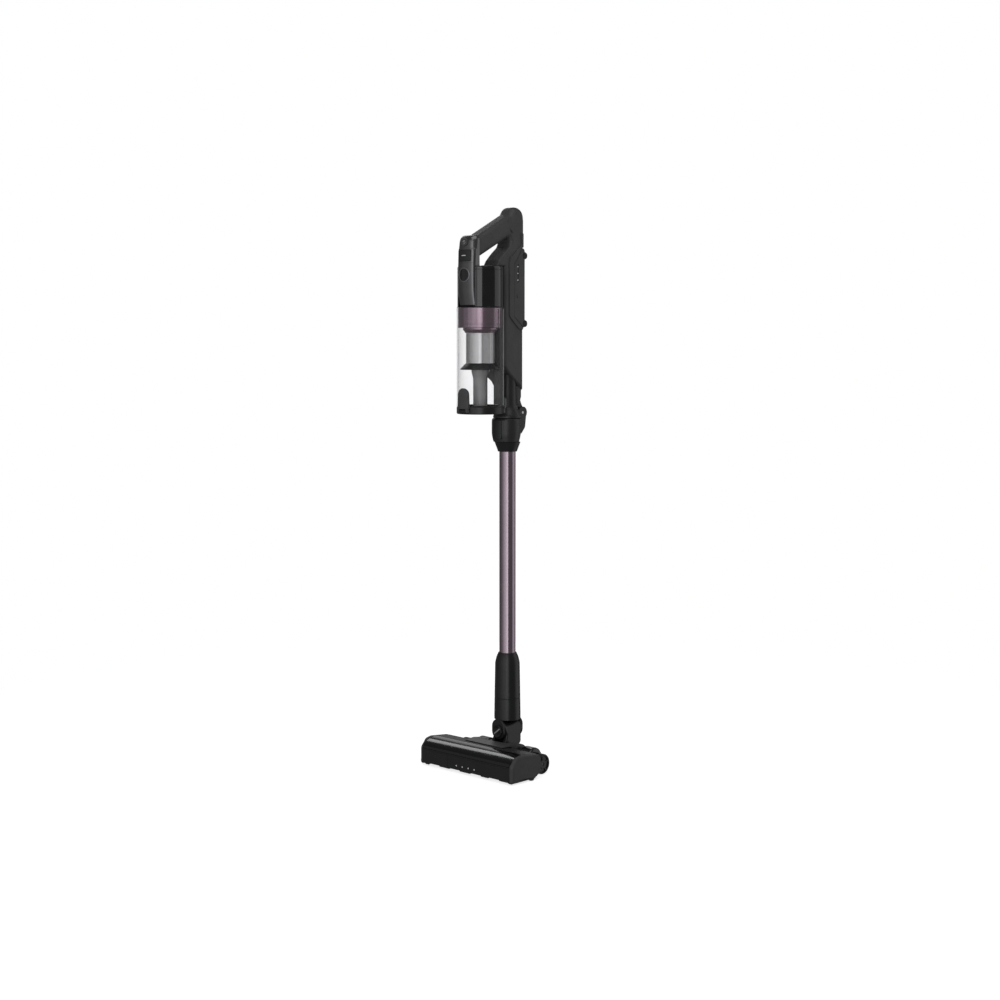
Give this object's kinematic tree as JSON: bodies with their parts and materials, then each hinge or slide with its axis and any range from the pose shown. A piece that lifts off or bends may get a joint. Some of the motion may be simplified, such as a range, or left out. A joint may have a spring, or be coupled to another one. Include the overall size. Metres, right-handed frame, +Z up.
{
  "type": "cordless stick vacuum cleaner",
  "caption": "Upright cordless stick vacuum with a clear dust cup, a folding body, a metal wand and a wide powered brush head on a two-way jointed neck.",
  "frame": {"origin": "centre of the footprint at floor level, with the machine parked upright", "axes": "+Z up along the wand, the floor head faces -Y, +X is the right side seen from the front of the head"},
  "size_m": [0.25, 0.166, 1.096],
  "materials": {
    "black_plastic": "satin moulded ABS with a fine texture",
    "graphite_plastic": "satin moulded ABS with a fine texture",
    "grey_plastic": "satin moulded ABS",
    "smoked_window": "polished smoked polycarbonate",
    "gloss_black": "polished black ABS",
    "mauve_aluminium": "mauve anodised, lightly brushed along the tube",
    "mauve_gloss": "metallic mauve paint",
    "clear_plastic": "clear polycarbonate",
    "steel": "bright steel",
    "rubber": "soft moulded rubber",
    "bristle": "twisted rows of nylon tufts on a dark core",
    "felt": "pressed felt",
    "led": "white light guides",
    "circuit_board": "solder mask",
    "filter_paper": "pleated filter paper",
    "cell_pack": "shrink film over flat cells"
  },
  "bodies": {
    "floor_head": {"head_base": "black_plastic", "head_deck": "graphite_plastic", "brush_window": "smoked_window", "head_bumper": "black_plastic", "led_bar": "led", "end_cap_right": "graphite_plastic", "end_cap_left": "graphite_plastic", "pivot_cradle": "graphite_plastic", "control_pod": "black_plastic", "floor_seal": "felt", "brush_motor": "steel", "drive_belt": "rubber", "pitch_pin_right": "steel", "pitch_pin_left": "steel"},
    "brush": {"brush_roll": "bristle", "brush_pulley": "grey_plastic"},
    "brush_drive": {"motor_pulley": "steel"},
    "right_wheel": {"wheel_right": "black_plastic"},
    "left_wheel": {"wheel_left": "black_plastic"},
    "right_roller": {"roller_right": "rubber"},
    "left_roller": {"roller_left": "rubber"},
    "neck": {"neck_elbow": "black_plastic", "roll_pin_front": "black_plastic", "roll_pin_rear": "black_plastic"},
    "wand": {"neck_sleeve": "black_plastic", "wand_tube": "mauve_aluminium", "wand_socket": "graphite_plastic", "socket_collar": "black_plastic", "fold_pin": "steel"},
    "sleeve_release": {"sleeve_button": "graphite_plastic"},
    "fold_release": {"fold_button": "black_plastic"},
    "handheld": {"inlet_knuckle": "graphite_plastic", "body_shell_right": "graphite_plastic", "body_shell_left": "graphite_plastic", "nose_shell": "graphite_plastic", "control_board": "circuit_board", "motor_housing": "gloss_black", "pre_motor_filter": "filter_paper", "fan_stator": "steel"},
    "power": {"power_button": "grey_plastic"},
    "mode": {"mode_button": "graphite_plastic"},
    "fan": {"fan_rotor": "steel"},
    "battery": {"battery_case": "graphite_plastic", "battery_cells": "cell_pack", "battery_leds": "led", "bumper_bar_top": "rubber", "bumper_bar_bottom": "rubber"},
    "cup": {"dust_cup": "clear_plastic", "cyclone_band": "mauve_gloss", "cyclone_flange": "mauve_gloss", "mesh_screen": "steel", "cyclone_skirt": "black_plastic", "fine_dust_tube": "grey_plastic", "cup_inlet": "graphite_plastic", "hinge_bracket": "grey_plastic", "lid_pin": "steel"},
    "lid": {"bin_lid": "black_plastic", "lid_seal": "rubber"},
    "lid_release": {"bin_release": "grey_plastic"}
  },
  "joints": [
    {"name": "brush_spin", "type": "hinge", "parent": "floor_head", "child": "brush", "pos_m": [0, -0.047, 0.0245], "axis": [1, 0, 0], "continuous": true},
    {"name": "brush_drive_spin", "type": "hinge", "parent": "floor_head", "child": "brush_drive", "pos_m": [0.09, -0.012, 0.025], "axis": [1, 0, 0], "continuous": true},
    {"name": "right_wheel_spin", "type": "hinge", "parent": "floor_head", "child": "right_wheel", "pos_m": [0.1, 0.0315, 0.0195], "axis": [1, 0, 0], "continuous": true},
    {"name": "left_wheel_spin", "type": "hinge", "parent": "floor_head", "child": "left_wheel", "pos_m": [-0.1, 0.0315, 0.0195], "axis": [1, 0, 0], "continuous": true},
    {"name": "right_roller_spin", "type": "hinge", "parent": "floor_head", "child": "right_roller", "pos_m": [0.1115, -0.0665, 0.006], "axis": [1, 0, 0], "continuous": true},
    {"name": "left_roller_spin", "type": "hinge", "parent": "floor_head", "child": "left_roller", "pos_m": [-0.1115, -0.0665, 0.006], "axis": [1, 0, 0], "continuous": true},
    {"name": "neck_pitch", "type": "hinge", "parent": "floor_head", "child": "neck", "pos_m": [0, 0.0245, 0.031], "axis": [-1, 0, 0], "range_deg": [0, 58]},
    {"name": "neck_roll", "type": "hinge", "parent": "neck", "child": "wand", "pos_m": [0, 0.0445, 0.07], "axis": [0, 1, 0], "range_deg": [-40, 40]},
    {"name": "body_fold", "type": "hinge", "parent": "wand", "child": "handheld", "pos_m": [0, 0.0715, 0.697], "axis": [-1, 0, 0], "range_deg": [0, 168]},
    {"name": "sleeve_button_press", "type": "slide", "parent": "wand", "child": "sleeve_release", "axis": [0, -1, 0], "range_m": [0, 0.0025], "stiffness_N_per_m": 900},
    {"name": "fold_button_press", "type": "slide", "parent": "wand", "child": "fold_release", "axis": [0, 1, 0], "range_m": [0, 0.003], "stiffness_N_per_m": 900},
    {"name": "power_button_press", "type": "slide", "parent": "handheld", "child": "power", "axis": [0, 1, 0], "range_m": [0, 0.0015], "stiffness_N_per_m": 900},
    {"name": "mode_button_press", "type": "slide", "parent": "handheld", "child": "mode", "axis": [0, 1, 0], "range_m": [0, 0.0012], "stiffness_N_per_m": 900},
    {"name": "fan_spin", "type": "hinge", "parent": "handheld", "child": "fan", "pos_m": [0, -0.0325, 0.95], "axis": [0, 0, 1], "continuous": true},
    {"name": "battery_slide", "type": "slide", "parent": "handheld", "child": "battery", "axis": [0, 1, 0], "range_m": [0, 0.034]},
    {"name": "cup_slide", "type": "slide", "parent": "handheld", "child": "cup", "axis": [0, -1, 0], "range_m": [0, 0.08]},
    {"name": "lid_open", "type": "hinge", "parent": "cup", "child": "lid", "pos_m": [0, -0.0797, 0.703], "axis": [-1, 0, 0], "range_deg": [0, 75]},
    {"name": "lid_release_press", "type": "slide", "parent": "cup", "child": "lid_release", "axis": [0, 0, -1], "range_m": [0, 0.004], "stiffness_N_per_m": 900}
  ],
  "couplings": [
    {"joint": "brush_drive_spin", "follows": "brush_spin", "ratio": 1.8333}
  ]
}
